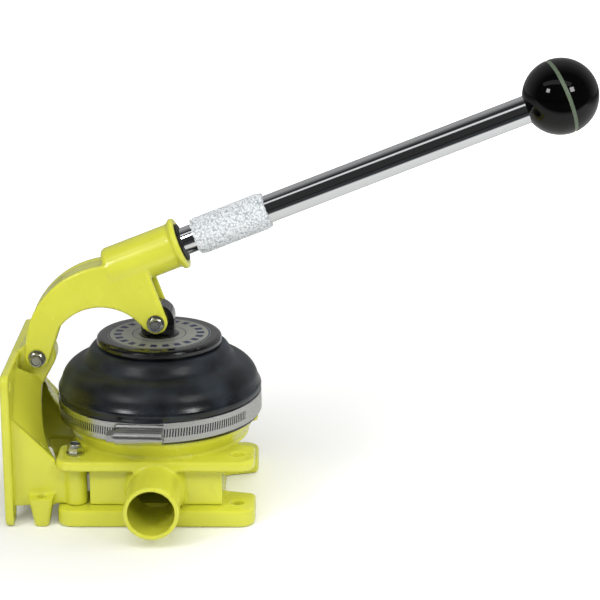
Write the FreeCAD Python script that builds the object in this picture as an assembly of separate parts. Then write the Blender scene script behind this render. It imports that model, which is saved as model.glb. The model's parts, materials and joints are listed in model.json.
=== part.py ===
"""Manual diaphragm bilge pump: cast body on a side bracket, with a lever fork and a removable handle.

Frame: millimetres, +Z up, origin on the diaphragm axis in the plane of the feet.
+X points the way the handle leans, the two hose stubs point along -Y and +Y.
Each function builds one separate piece, or one group of identical fasteners.
"""
import FreeCAD, Part
import math
import os

V = FreeCAD.Vector
X_AXIS, Y_AXIS, Z_AXIS = V(1, 0, 0), V(0, 1, 0), V(0, 0, 1)

# ---- fits -------------------------------------------------------------------------------------
RUN = 0.05          # radial clearance of a running fit
GAP = 0.4           # clearance between faces of different moving bodies
SNUG = 0.05         # clearance between touching parts of one body

# ---- cast body --------------------------------------------------------------------------------
FOOT_T = 12.15      # thickness of the base plate
GASKET_T = 1.0
FLANGE_Z0, FLANGE_Z1 = 41.0, 48.4
FLANGE_HALF_X, FLANGE_HALF_Y = 69.0, 69.0
WAIST_HALF_X, WAIST_HALF_Y = 46.0, 34.0
EAR_X, EAR_Y, EAR_HOLE_R = 56.5, 51.5, 4.3
CORNER_R = 11.0
EDGE_R = 1.6        # rounding of the castings' outer edges
CHEST_HALF_X, CHEST_HALF_Y, CHEST_WALL = 46.0, 60.0, 5.5
PORT_Z, PORT_R, PORT_BORE_R, PORT_END = 26.5, 19.0, 16.0, 108.5
PARTITION_Y, PARTITION_T = 25.0, 5.0
WINDOW_HALF_X, WINDOW_Z0, WINDOW_Z1 = 12.0, 16.5, 33.0
FLOOR_WINDOW = (-30.0, 30.0, -11.0, 21.0)
BOWL_FOOT_R, BOWL_LIP_R, BOWL_LIP_Z = 61.0, 67.8, 61.3
RIM_R, RIM_INNER_R, RIM_Z = 65.7, 60.5, 80.5
BASE_SCREWS = [(-37, -46), (-37, 0), (-37, 46), (37, -46), (37, 0), (37, 46)]
BOSS_R = 5.5

# ---- diaphragm and its clamp ------------------------------------------------------------------
LIP_R, LIP_Z0, LIP_Z1 = 71.5, 61.8, 80.6
BAND_R, BAND_T, BAND_Z0, BAND_Z1 = 71.55, 1.0, 64.0, 78.0
CLAMP_ANGLE = -97.0         # direction of the worm housing, degrees from +X
HOUSING_L, HOUSING_H = 36.0, 14.0
PLATE_R, PLATE_Z0, PLATE_Z1 = 44.5, 113.7, 120.2
RUBBER_T = 3.4
LABEL_R, LABEL_HOLE_R, LABEL_T = 36.6, 14.2, 0.6
PLATE_SCREW = 17.7          # offset of the four plate screws from the axis, each way

# ---- lever ------------------------------------------------------------------------------------
FULCRUM = V(-85.5, 0, 106.3)
PIN = V(-1.3, 0, 132.0)
CHEEK_IN, CHEEK_OUT, CHEEK_ROUND = 9.6, 14.9, 1.4
FULCRUM_END_R, PIN_END_R = 8.5, 8.3
BOLT_R, BUSH_R = 3.0, 4.6
HEX_AF, HEAD_T, NUT_T = 10.0, 4.2, 6.2   # M6 bolts and self-locking nuts
WASHER_R, WASHER_T = 6.2, 1.4
EYE_R, EYE_X, EYE_HALF_T = 11.8, -0.5, 8.9
LUG_R, LUG_HALF_T = 12.5, 9.2
HANDLE_TILT = 21.65         # degrees above horizontal
HANDLE_REF = V(0, 0, 180.3)  # where the handle axis crosses the diaphragm axis
SOCKET_R, SOCKET_RIM_R, SOCKET_BORE_R = 16.0, 18.7, 13.4
SOCKET_S0, SOCKET_S1 = -38.0, 18.4
TUBE_R, TUBE_WALL, TUBE_S0 = 9.9, 1.6, -31.0
SLEEVE_R, SLEEVE_S0, SLEEVE_S1 = 13.4, 28.6, 83.5
KNOB_S, KNOB_R, KNOB_NECK = 300.0, 26.5, 24.0
GROOVE_W, GROOVE_DEPTH = 3.4, 0.9

# ---- bracket ----------------------------------------------------------------------------------
WALL_X0, WALL_X1, WALL_HALF_Y, WALL_TOP = -104.5, -98.5, 70.0, 110.5
WALL_HOLE_Y, WALL_HOLE_Z0, WALL_HOLE_Z1, WALL_HOLE_R = 60.0, 10.0, 101.0, 3.3
EAR_DROP, WALL_BOTTOM = 50.0, 11.0
PANEL_T, PANEL_Z0, PANEL_FLARE = 5.0, 12.6, 7.0
COLUMN_R = 8.0
DECK_X, DECK_Y, DECK_TOP, DECK_HOLE_R = -79.5, 62.0, 21.0, 3.1

# ---- valves -----------------------------------------------------------------------------------
FLAP_HALF_W, FLAP_T, FLAP_Z0 = 14.0, 2.6, 14.6
HINGE_Z, HINGE_BEAD_R, HINGE_END = 36.8, 2.0, 17.5

STEP_DIR = "parts"
os.makedirs(STEP_DIR, exist_ok=True)


# ---- small builders ---------------------------------------------------------------------------
def box(x0, x1, y0, y1, z0, z1):
    return Part.makeBox(x1 - x0, y1 - y0, z1 - z0, V(x0, y0, z0))


def rod(base, direction, radius, length):
    return Part.makeCylinder(radius, length, base, direction)


def tube(base, direction, outer, inner, length):
    return rod(base, direction, outer, length).cut(rod(base, direction, inner, length))


def hexagon(base, direction, across_flats, length):
    """Hexagonal prism, for nuts and bolt heads."""
    turn = FreeCAD.Rotation(Z_AXIS, direction)
    reach = across_flats / math.sqrt(3)
    corners = [V(reach * math.cos(math.radians(a)), reach * math.sin(math.radians(a)), 0)
               for a in range(0, 361, 60)]
    face = Part.Face(Part.makePolygon(corners))
    face.Placement = FreeCAD.Placement(base, turn)
    solid = face.extrude(direction * length)
    chamfer = Part.makeCone(reach * 1.0, reach * 0.86, length * 0.22,
                            base + direction * (length * 0.78), direction)
    shaft = rod(base, direction, reach, length * 0.78)
    return solid.common(shaft.fuse(chamfer))


def spun(points):
    """Solid of revolution about Z from a closed list of (radius, height)."""
    wire = Part.makePolygon([V(r, 0, z) for r, z in points + points[:1]])
    return Part.Face(wire).revolve(V(0, 0, 0), Z_AXIS, 360)


def side_plate(edges, y0, y1):
    """Extrude a closed outline in the XZ plane from y0 to y1."""
    face = Part.Face(Part.Wire(edges))
    face.translate(V(0, y0, 0))
    return face.extrude(V(0, y1 - y0, 0))


def line(a, b):
    return Part.LineSegment(V(*a), V(*b)).toShape()


def arc(a, mid, b):
    return Part.Arc(V(*a), V(*mid), V(*b)).toShape()


def xz(x, z):
    return (x, 0, z)


def plan_plate(points, z0, z1, radius):
    """Extrude a plan outline from z0 to z1 and round its upright edges."""
    wire = Part.makePolygon([V(x, y, z0) for x, y in points + points[:1]])
    solid = Part.Face(wire).extrude(V(0, 0, z1 - z0))
    upright = [e for e in solid.Edges if abs(e.BoundBox.ZLength - (z1 - z0)) < 1e-6
               and e.BoundBox.XLength < 1e-6 and e.BoundBox.YLength < 1e-6]
    return solid.makeFillet(radius, upright)


def soften(solid, radius, keep):
    """Round the edges for which keep(edge) is true."""
    edges = [e for e in solid.Edges if keep(e)]
    return solid.makeFillet(radius, edges) if edges else solid


def mirrored_y(solid):
    return solid.mirror(V(0, 0, 0), Y_AXIS)


def both_sides(solid):
    return Part.makeCompound([solid, mirrored_y(solid)])


def handle_point(s):
    tilt = math.radians(HANDLE_TILT)
    return HANDLE_REF + V(math.cos(tilt), 0, math.sin(tilt)) * s


HANDLE_DIR = handle_point(1) - handle_point(0)


def along_handle(points):
    """Solid of revolution about the handle axis from (s, radius) points."""
    solid = spun([(r, s) for s, r in points])
    solid.Placement = FreeCAD.Placement(HANDLE_REF, FreeCAD.Rotation(Z_AXIS, HANDLE_DIR))
    return solid


def export(name, shape):
    shape.exportStep(os.path.join(STEP_DIR, name + ".step"))


# ---- cast body --------------------------------------------------------------------------------
def ear_outline():
    fx, fy, wx, wy = FLANGE_HALF_X, FLANGE_HALF_Y, WAIST_HALF_X, WAIST_HALF_Y
    return [(-fx, -fy), (fx, -fy), (fx, -wy), (wx, -wy + 6), (wx, wy - 6), (fx, wy), (fx, fy),
            (-fx, fy), (-fx, wy), (-wx, wy - 6), (-wx, -wy + 6), (-fx, -wy)]


def ear_plate(z0, z1):
    """Flange with four corner ears, its sides drawn in to the waist between them."""
    plate = plan_plate(ear_outline(), z0, z1, 5.0)
    corners = plan_plate([(-FLANGE_HALF_X, -FLANGE_HALF_Y), (FLANGE_HALF_X, -FLANGE_HALF_Y),
                          (FLANGE_HALF_X, FLANGE_HALF_Y), (-FLANGE_HALF_X, FLANGE_HALF_Y)],
                         z0, z1, CORNER_R)
    plate = plate.common(corners)
    return soften(plate, EDGE_R, lambda e: e.BoundBox.ZLength < 1e-6)


def ear_holes(z0, z1):
    return [rod(V(sx * EAR_X, sy * EAR_Y, z0), Z_AXIS, EAR_HOLE_R, z1 - z0)
            for sx in (-1, 1) for sy in (-1, 1)]


def pump_body():
    """Bowl, flange, valve chest and hose stubs in one casting."""
    chest_z0 = FOOT_T + GASKET_T
    flange = ear_plate(FLANGE_Z0, FLANGE_Z1)
    bowl = spun([(0, FLANGE_Z1 - 2), (BOWL_FOOT_R - 1.5, FLANGE_Z1 - 2), (BOWL_FOOT_R + 3.4, FLANGE_Z1),
                 (BOWL_FOOT_R + 1.9, FLANGE_Z1 + 0.5), (BOWL_FOOT_R + 1.4, FLANGE_Z1 + 1.6),
                 (64.2, 53.0), (66.6, 57.5), (BOWL_LIP_R, BOWL_LIP_Z), (RIM_R, BOWL_LIP_Z + 0.2),
                 (RIM_R, RIM_Z - 1), (RIM_R - 1, RIM_Z), (RIM_INNER_R, RIM_Z), (RIM_INNER_R, 60),
                 (57.5, 53), (53, FLANGE_Z1), (0, FLANGE_Z1)])
    chest = box(-CHEST_HALF_X, CHEST_HALF_X, -CHEST_HALF_Y, CHEST_HALF_Y, chest_z0, FLANGE_Z0 + 1)
    stub_start = CHEST_HALF_Y - 4
    stubs = [rod(V(0, s * stub_start, PORT_Z), Y_AXIS * s, PORT_R, PORT_END - stub_start)
             for s in (-1, 1)]
    body = flange.fuse([bowl, chest] + stubs + flares(0))
    bores = [rod(V(0, s * (CHEST_HALF_Y - CHEST_WALL - 1), PORT_Z), Y_AXIS * s, PORT_BORE_R, PORT_END)
             for s in (-1, 1)]
    bosses = [rod(V(x, y, chest_z0), Z_AXIS, BOSS_R, FLANGE_Z0 - chest_z0) for x, y in BASE_SCREWS]
    windows = [box(-WINDOW_HALF_X, WINDOW_HALF_X, s * PARTITION_Y - 4, s * PARTITION_Y + 4,
                   WINDOW_Z0, WINDOW_Z1) for s in (-1, 1)]
    x0, x1, y0, y1 = FLOOR_WINDOW
    windows.append(box(x0, x1, y0, y1, FLANGE_Z0 - 1, FLANGE_Z1 + 1))
    screw_holes = [rod(V(x, y, chest_z0 - 1), Z_AXIS, 2.0, 13) for x, y in BASE_SCREWS]
    hinge_grooves = [rod(hinge_start(s), X_AXIS, HINGE_BEAD_R + GAP, 2 * HINGE_END + 1) for s in (-1, 1)]
    body = body.cut(chambers(0, FLANGE_Z0) + bores).fuse(bosses)
    body = body.cut(windows + screw_holes + hinge_grooves)
    return body.cut(ear_holes(FLANGE_Z0 - 1, FLANGE_Z1 + 1)).removeSplitter()


def flares(margin):
    """Cones where the stubs grow out of the chest, larger by the given margin."""
    return [Part.makeCone(PORT_R + 4.5 + margin, PORT_R + margin, 14,
                          V(0, s * (CHEST_HALF_Y - 4), PORT_Z), Y_AXIS * s) for s in (-1, 1)]


def chambers(z0, z1):
    """Front, middle and rear chambers of the valve chest."""
    x, y = CHEST_HALF_X - CHEST_WALL, CHEST_HALF_Y - CHEST_WALL
    near, far = PARTITION_Y - PARTITION_T / 2, PARTITION_Y + PARTITION_T / 2
    return [box(-x, x, -y, -far, z0, z1), box(-x, x, -near, near, z0, z1), box(-x, x, far, y, z0, z1)]


def base_plate():
    plate = ear_plate(0, FOOT_T)
    cuts = ear_holes(-1, FOOT_T + 1) + flares(0.3)
    for s in (-1, 1):
        cuts.append(rod(V(-EAR_X, s * EAR_Y, 0), Z_AXIS, 7.8, 6.0))
    for x, y in BASE_SCREWS:
        cuts.append(rod(V(x, y, 0), Z_AXIS, 2.3, FOOT_T))
        cuts.append(Part.makeCone(4.6, 2.3, 2.6, V(x, y, 0.4), Z_AXIS))
        cuts.append(rod(V(x, y, 0), Z_AXIS, 4.6, 0.4))
    return plate.cut(cuts)


def base_gasket():
    """Rubber sheet between the chest walls and the base plate."""
    sheet = box(-CHEST_HALF_X, CHEST_HALF_X, -CHEST_HALF_Y, CHEST_HALF_Y, FOOT_T, FOOT_T + GASKET_T)
    pads = [rod(V(x, y, FOOT_T), Z_AXIS, BOSS_R, GASKET_T) for x, y in BASE_SCREWS]
    holes = [rod(V(x, y, FOOT_T - 1), Z_AXIS, 2.3, 4) for x, y in BASE_SCREWS]
    return sheet.cut(chambers(0, 20)).fuse(pads).cut(holes + flares(0.3))


def base_screws():
    """Countersunk screws that close the base plate."""
    screws = []
    for x, y in BASE_SCREWS:
        head = Part.makeCone(4.4, 2.0, 2.4, V(x, y, 0.5), Z_AXIS)
        shank = rod(V(x, y, 0.5), Z_AXIS, 1.95, FOOT_T + 10)
        slot = box(x - 4, x + 4, y - 0.5, y + 0.5, 0, 1.2)
        screws.append(head.fuse(shank).cut(slot))
    return Part.makeCompound(screws)


# ---- valves -----------------------------------------------------------------------------------
def hinge_y(side):
    """Hinge line on the downstream face of the front (-1) or rear (+1) partition."""
    return side * PARTITION_Y + PARTITION_T / 2 + GAP + FLAP_T / 2


def hinge_start(side):
    return V(-HINGE_END - 0.5, hinge_y(side), HINGE_Z)


def flap(side):
    """Rubber clack that hangs from a round hinge bead and opens away from its partition."""
    y = hinge_y(side)
    bead = rod(V(-HINGE_END, y, HINGE_Z), X_AXIS, HINGE_BEAD_R, 2 * HINGE_END)
    sheet = box(-FLAP_HALF_W, FLAP_HALF_W, y - FLAP_T / 2, y + FLAP_T / 2, FLAP_Z0, HINGE_Z)
    corners = [e for e in sheet.Edges if e.BoundBox.YLength > 2 and e.BoundBox.ZMax < FLAP_Z0 + 1]
    return sheet.makeFillet(4.0, corners).fuse(bead)


def flap_weight(side):
    """Brass plate riveted to the clack so that it falls shut."""
    y = hinge_y(side) + FLAP_T / 2
    plate = box(-9, 9, y, y + 1.5, 17.5, 28.5)
    rivet = Part.makeCone(2.6, 1.8, 1.0, V(0, y + 1.5, 23), Y_AXIS)
    return plate.fuse(rivet)


def flap_keeper(side):
    """Hinge block screwed to the ceiling of the chest."""
    y = hinge_y(side)
    wall = side * PARTITION_Y + PARTITION_T / 2
    strip = box(-HINGE_END - 1.5, HINGE_END + 1.5, wall + SNUG, y + 7.8, HINGE_Z + GAP, FLANGE_Z0 - SNUG)
    ends = [box(*sorted((sx * 14.6, sx * (HINGE_END + 1.5))), wall + SNUG, y + 4, 33.0, FLANGE_Z0 - SNUG)
            for sx in (-1, 1)]
    bead = rod(V(-HINGE_END - 0.3, y, HINGE_Z), X_AXIS, HINGE_BEAD_R + RUN, 2 * HINGE_END + 0.6)
    holes = [rod(V(sx * 9, y + 5.4, 30), Z_AXIS, 1.6, 20) for sx in (-1, 1)]
    return strip.fuse(ends).cut([bead] + holes)


def keeper_screws(side):
    screws = []
    for sx in (-1, 1):
        seat = V(sx * 9, hinge_y(side) + 5.4, HINGE_Z + GAP)
        shank = rod(seat, Z_AXIS, 1.5, 3.7)
        screws.append(shank.fuse(Part.makeCone(2.6, 2.0, 1.3, seat, Z_AXIS * -1)))
    return Part.makeCompound(screws)


# ---- diaphragm and clamp ----------------------------------------------------------------------
def diaphragm():
    """Moulded rubber: clamped lip, rolled shoulder, valley, cone and centre disc."""
    top = PLATE_Z0 - SNUG
    outer = [(0, top), (45.2, top), (48.0, 112.4), (50.8, 109.4), (53.2, 105.8), (57.0, 102.9),
             (62.0, 100.2), (66.8, 96.4), (70.5, 91.4), (72.5, 86.6), (72.5, 82.6), (71.9, LIP_Z1),
             (LIP_R, 79.0), (LIP_R, 63.6), (70.4, 62.2), (69.0, LIP_Z0), (RIM_R + SNUG, LIP_Z0)]
    inner = [(RIM_R + SNUG, RIM_Z + SNUG), (62.0, RIM_Z + SNUG), (62.0, 83.6), (66.6, 84.6),
             (69.2, 86.6), (67.8, 90.0), (65.0, 93.6), (60.6, 97.0), (55.6, 99.8), (51.0, 103.0),
             (48.2, 106.8), (45.2, top - RUBBER_T), (0, top - RUBBER_T)]
    holes = [rod(spot + Z_AXIS * (top - 10), Z_AXIS, 2.2, 12) for spot in plate_screw_spots()]
    return spun(outer + inner).cut(holes)


def clamp_band():
    """Stainless band round the diaphragm's lip."""
    return tube(V(0, 0, BAND_Z0), Z_AXIS, BAND_R + BAND_T, BAND_R, BAND_Z1 - BAND_Z0)


def at_clamp(shape):
    shape.rotate(V(0, 0, 0), Z_AXIS, CLAMP_ANGLE)
    return shape


def clamp_housing():
    """Pressed worm housing on the band, built at +X and turned into place."""
    r0 = BAND_R + BAND_T + SNUG
    mid_z = (BAND_Z0 + BAND_Z1) / 2
    half_l = HOUSING_L / 2
    saddle = box(r0 - 3, r0 + 3.2, -half_l, half_l, mid_z - HOUSING_H / 2, mid_z + HOUSING_H / 2)
    barrel = rod(V(r0 + 4.0, -half_l + 1, mid_z - 1.0), Y_AXIS, 5.6, HOUSING_L - 2)
    shell = saddle.fuse(barrel).cut([rod(V(r0 + 4.0, -half_l - 1, mid_z - 1.0), Y_AXIS, 4.4, HOUSING_L + 2),
                                     rod(V(0, 0, 0), Z_AXIS, r0, 200)])
    return at_clamp(shell)


def clamp_screw():
    """Worm screw with a slotted hexagon head."""
    r0 = BAND_R + BAND_T + SNUG + 4.0
    mid_z = (BAND_Z0 + BAND_Z1) / 2 - 1.0
    start = -HOUSING_L / 2
    worm = rod(V(r0, start - 2, mid_z), Y_AXIS, 4.3, HOUSING_L + 1)
    head = hexagon(V(r0, start - 2, mid_z), Y_AXIS * -1, 8.0, 6.0)
    slot = box(r0 - 5, r0 + 5, start - 8.5, start - 6.8, mid_z - 0.6, mid_z + 0.6)
    screw = worm.fuse(head).cut([slot, rod(V(0, 0, 0), Z_AXIS, BAND_R + BAND_T + SNUG, 200)])
    return at_clamp(screw)


# ---- plunger ----------------------------------------------------------------------------------
def eye_slot():
    """Slot for the fork pin: the pin's arc leans over by a few millimetres along the stroke."""
    reach = math.hypot(PIN.x - FULCRUM.x, PIN.z - FULCRUM.z)
    far_x = FULCRUM.x + reach
    half_h = BOLT_R + 0.25
    left, right = PIN.x, far_x + 0.1
    slot = box(left, right, -20, 20, PIN.z - half_h, PIN.z + half_h)
    ends = [rod(V(x, -20, PIN.z), Y_AXIS, half_h, 40) for x in (left, right)]
    return slot.fuse(ends)


def top_plate():
    """Black coated plate above the rubber, with the eye that the fork takes hold of."""
    plate = spun([(0, PLATE_Z0), (42.8, PLATE_Z0), (44.0, PLATE_Z0 + 0.6), (PLATE_R, PLATE_Z0 + 1.8),
                  (PLATE_R, PLATE_Z0 + 4.0), (44.0, 118.9), (42.9, 119.8), (41.2, PLATE_Z1),
                  (LABEL_R + 0.3, PLATE_Z1), (LABEL_R + 0.3, PLATE_Z1 - LABEL_T),
                  (LABEL_HOLE_R - 0.3, PLATE_Z1 - LABEL_T), (LABEL_HOLE_R - 0.3, PLATE_Z1 + 0.4),
                  (12.6, PLATE_Z1 + 1.2), (0, PLATE_Z1 + 1.2)])
    eye = rod(V(EYE_X, -EYE_HALF_T, PIN.z), Y_AXIS, EYE_R, 2 * EYE_HALF_T)
    neck = box(EYE_X - EYE_R, EYE_X + EYE_R, -EYE_HALF_T, EYE_HALF_T, PLATE_Z0 + 1, PIN.z)
    neck = neck.common(rod(V(0, 0, PLATE_Z0), Z_AXIS, 13.4, 40))
    holes = [rod(spot + Z_AXIS * (PLATE_Z0 - 1), Z_AXIS, 2.1, 5) for spot in plate_screw_spots()]
    return plate.fuse([eye, neck]).cut([eye_slot()] + holes)


def plate_screw_spots():
    return [V(sx * PLATE_SCREW, sy * PLATE_SCREW, 0) for sx in (-1, 1) for sy in (-1, 1)]


def label_disc():
    return tube(V(0, 0, PLATE_Z1 - LABEL_T), Z_AXIS, LABEL_R, LABEL_HOLE_R, LABEL_T)


def lower_plate():
    """Dished plate that holds the rubber against the top plate from inside the bowl."""
    top = PLATE_Z0 - 2 * SNUG - RUBBER_T
    plate = spun([(0, top), (40, top), (42, top - 1.4), (41, top - 3), (38, top - 3.6), (0, top - 4.6)])
    holes = [rod(spot + Z_AXIS * (top - 6), Z_AXIS, 2.4, 12) for spot in plate_screw_spots()]
    return plate.cut(holes)


def plate_screws():
    top = PLATE_Z0 - 2 * SNUG - RUBBER_T
    screws = []
    for spot in plate_screw_spots():
        base = spot + Z_AXIS * (top - 6.8)
        screws.append(rod(base, Z_AXIS, 2.0, 12.5).fuse(rod(base, Z_AXIS, 4.0, 2.4)))
    return Part.makeCompound(screws)


# ---- lever ------------------------------------------------------------------------------------
BACK_R = 63.3                # radius of the arm's arched back
BACK_CENTRE = V(FULCRUM.x - FULCRUM_END_R + BACK_R, 0, FULCRUM.z + 4.2)
ARCH = (xz(-68.8, 128.8), xz(-39.5, 143.2), xz(-9.8, 127.6))


def on_circle(centre, radius, degrees):
    angle = math.radians(degrees)
    return xz(centre.x + radius * math.cos(angle), centre.z + radius * math.sin(angle))


def cheek(y0, y1):
    """One side of the cast arm: fulcrum end, arched back, belly and fork leg."""
    leg_top = xz(-6.7, 171.5)
    leg_side, leg_end, leg_toe = [on_circle(PIN, PIN_END_R, degrees) for degrees in (21, -53, -126)]
    heel, heel_end, heel_back = [on_circle(FULCRUM, FULCRUM_END_R, degrees) for degrees in (-19, -100, -180)]
    back_foot, back_mid, back_top = [on_circle(BACK_CENTRE, BACK_R, degrees) for degrees in (180, 140, 83.6)]
    edges = [line(heel_back, back_foot), arc(back_foot, back_mid, back_top), line(back_top, leg_top),
             line(leg_top, leg_side),
             arc(leg_side, leg_end, leg_toe), line(leg_toe, ARCH[2]), arc(ARCH[2], ARCH[1], ARCH[0]),
             line(ARCH[0], heel), arc(heel, heel_end, heel_back)]
    blade = side_plate(edges, y0, y1)
    outside, arch_top = max(abs(y0), abs(y1)), ARCH[1][2]
    return soften(blade, CHEEK_ROUND, lambda e: e.BoundBox.YLength < 1e-4
                  and abs(abs(e.BoundBox.YMin) - outside) < 1e-4
                  and abs(e.BoundBox.ZMax - arch_top) > 0.5)


def back_web():
    """Curved web along the outer edge that ties the two cheeks together."""
    start = V(BACK_CENTRE.x, -CHEEK_IN - 0.5, BACK_CENTRE.z)
    band = tube(start, Y_AXIS, BACK_R - 0.6, BACK_R - 5.6, 2 * CHEEK_IN + 1)
    keep = box(-120, BACK_CENTRE.x, -20, 20, FULCRUM.z + 17, 200)
    return band.common(keep)


def lever_arm():
    """Casting with two cheeks, back web, handle socket and rolled socket mouth."""
    cheeks = [cheek(-CHEEK_OUT, -CHEEK_IN), cheek(CHEEK_IN, CHEEK_OUT)]
    socket = along_handle([(SOCKET_S0 + 2.5, 0), (SOCKET_S0, 2.5), (SOCKET_S0, SOCKET_R - 3),
                           (SOCKET_S0 + 1, SOCKET_R - 1), (SOCKET_S0 + 3, SOCKET_R), (13.2, SOCKET_R),
                           (13.9, 17.6), (15.0, 18.5), (16.2, SOCKET_RIM_R), (17.4, 18.4),
                           (18.2, 17.5), (SOCKET_S1, 16.4), (SOCKET_S1, 0)])
    rib = box(-34, -8, -CHEEK_IN - 0.5, CHEEK_IN + 0.5, 158, 176)
    arm = cheeks[0].fuse([cheeks[1], back_web(), socket, rib])
    bore = rod(handle_point(SOCKET_S0 + 5), HANDLE_DIR, SOCKET_BORE_R, 80)
    holes = [rod(V(FULCRUM.x, -20, FULCRUM.z), Y_AXIS, BUSH_R, 40),
             rod(V(PIN.x, -20, PIN.z), Y_AXIS, BOLT_R + SNUG, 40)]
    return arm.cut([bore] + holes).removeSplitter()


def socket_bush():
    """Black plastic liner of the socket, proud of its mouth."""
    length = SOCKET_S1 + 0.9 - (SOCKET_S0 + 5)
    liner = tube(handle_point(SOCKET_S0 + 5), HANDLE_DIR, SOCKET_BORE_R - 0.02, TUBE_R + RUN, length)
    stop = rod(handle_point(SOCKET_S0 + 5), HANDLE_DIR, SOCKET_BORE_R - 0.02, 1.5)
    return liner.fuse(stop)


def fulcrum_bushes():
    """Nylon bushes pressed into the fulcrum ends of both cheeks."""
    bush = tube(V(FULCRUM.x, CHEEK_IN, FULCRUM.z), Y_AXIS, BUSH_R, BOLT_R + RUN, CHEEK_OUT - CHEEK_IN + 0.1)
    return both_sides(bush)


def cross_bolt(centre, face):
    """Bolt along Y: head outside the rear face, thread end just inside the front nut."""
    seat = face + WASHER_T
    shank = rod(V(centre.x, -seat - NUT_T + 1.0, centre.z), Y_AXIS, BOLT_R, 2 * seat + NUT_T - 1.0)
    return shank.fuse(hexagon(V(centre.x, seat, centre.z), Y_AXIS, HEX_AF, HEAD_T))


def cross_nut(centre, face):
    nut = hexagon(V(centre.x, -face - WASHER_T, centre.z), Y_AXIS * -1, HEX_AF, NUT_T)
    return nut.cut(rod(V(centre.x, -face, centre.z), Y_AXIS * -1, BOLT_R + SNUG, 20))


def cross_washers(centre, face):
    return both_sides(tube(V(centre.x, face, centre.z), Y_AXIS, WASHER_R, BOLT_R + SNUG, WASHER_T))


# ---- handle -----------------------------------------------------------------------------------
def handle_tube():
    end = KNOB_S - KNOB_NECK + 8
    return tube(handle_point(TUBE_S0), HANDLE_DIR, TUBE_R, TUBE_R - TUBE_WALL, end - TUBE_S0)


def handle_sleeve():
    """Coarse woven grip tape around the lower end of the tube."""
    return along_handle([(SLEEVE_S0, TUBE_R + 0.02), (SLEEVE_S0, SLEEVE_R - 1.0),
                         (SLEEVE_S0 + 1.0, SLEEVE_R), (SLEEVE_S1 - 1.0, SLEEVE_R),
                         (SLEEVE_S1, SLEEVE_R - 1.0), (SLEEVE_S1, TUBE_R + 0.02)])


def knob_ring():
    """Pale ring let into the knob's equator groove."""
    outer = KNOB_R - 0.25
    ring = tube(handle_point(KNOB_S - GROOVE_W / 2), HANDLE_DIR, outer, KNOB_R - GROOVE_DEPTH - 1.6, GROOVE_W)
    return ring.common(Part.makeSphere(outer, handle_point(KNOB_S)))


def knob():
    ball = Part.makeSphere(KNOB_R, handle_point(KNOB_S))
    neck_cut = rod(handle_point(KNOB_S - 40), HANDLE_DIR, TUBE_R + 0.02, 40 - KNOB_NECK + 8)
    flat = rod(handle_point(KNOB_S - 40), HANDLE_DIR, 40, 40 - KNOB_NECK)
    groove = tube(handle_point(KNOB_S - GROOVE_W / 2), HANDLE_DIR, KNOB_R + 5,
                  KNOB_R - GROOVE_DEPTH - 1.6, GROOVE_W)
    stud_hole = rod(handle_point(KNOB_S - 20), HANDLE_DIR, 5.0, 24)
    return ball.cut([flat, neck_cut, groove, stud_hole])


def knob_plug():
    """Threaded steel plug that joins the knob to the tube."""
    in_tube = rod(handle_point(KNOB_S - KNOB_NECK - 12), HANDLE_DIR, TUBE_R - TUBE_WALL - 0.02, 20)
    stud = rod(handle_point(KNOB_S - KNOB_NECK + 4), HANDLE_DIR, 4.95, 20)
    return in_tube.fuse(stud)


# ---- bracket ----------------------------------------------------------------------------------
def wall_plate():
    """Upright mounting plate with two feet and four screw holes."""
    w, d = WALL_HALF_Y, EAR_DROP
    points = [(-w, 0), (-d - 4, 0), (-d, WALL_BOTTOM), (d, WALL_BOTTOM), (d + 4, 0), (w, 0),
              (w, WALL_TOP), (-w, WALL_TOP)]
    wire = Part.makePolygon([V(WALL_X0, y, z) for y, z in points + points[:1]])
    plate = Part.Face(wire).extrude(V(WALL_X1 - WALL_X0, 0, 0))
    corners = [e for e in plate.Edges if e.BoundBox.XLength > 5 and abs(abs(e.BoundBox.YMin) - w) < 0.1]
    plate = plate.makeFillet(6.0, corners)
    plate = soften(plate, EDGE_R, lambda e: e.BoundBox.XLength < 1e-6)
    holes = [rod(V(WALL_X0 - 1, sy * WALL_HOLE_Y, z), X_AXIS, WALL_HOLE_R, 10)
             for sy in (-1, 1) for z in (WALL_HOLE_Z0, WALL_HOLE_Z1)]
    return plate.cut(holes)


def lug():
    """Central rib that ends in the fulcrum boss."""
    x0, z = WALL_X1 - 1, FULCRUM.z
    edges = [line(xz(x0, 60), xz(x0, 110)), line(xz(x0, 110), xz(FULCRUM.x - 6, z + 10.96)),
             line(xz(FULCRUM.x - 6, z + 10.96), xz(FULCRUM.x + 11, z - 5.9)),
             line(xz(FULCRUM.x + 11, z - 5.9), xz(-83.5, 84)), line(xz(-83.5, 84), xz(x0, 60))]
    rib = side_plate(edges, -LUG_HALF_T, LUG_HALF_T)
    boss = rib.fuse(rod(V(FULCRUM.x, -LUG_HALF_T, z), Y_AXIS, LUG_R, 2 * LUG_HALF_T)).removeSplitter()
    return soften(boss, 1.2, lambda e: e.BoundBox.YLength < 1e-4 and e.BoundBox.XMax > x0 + 0.5)


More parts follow.
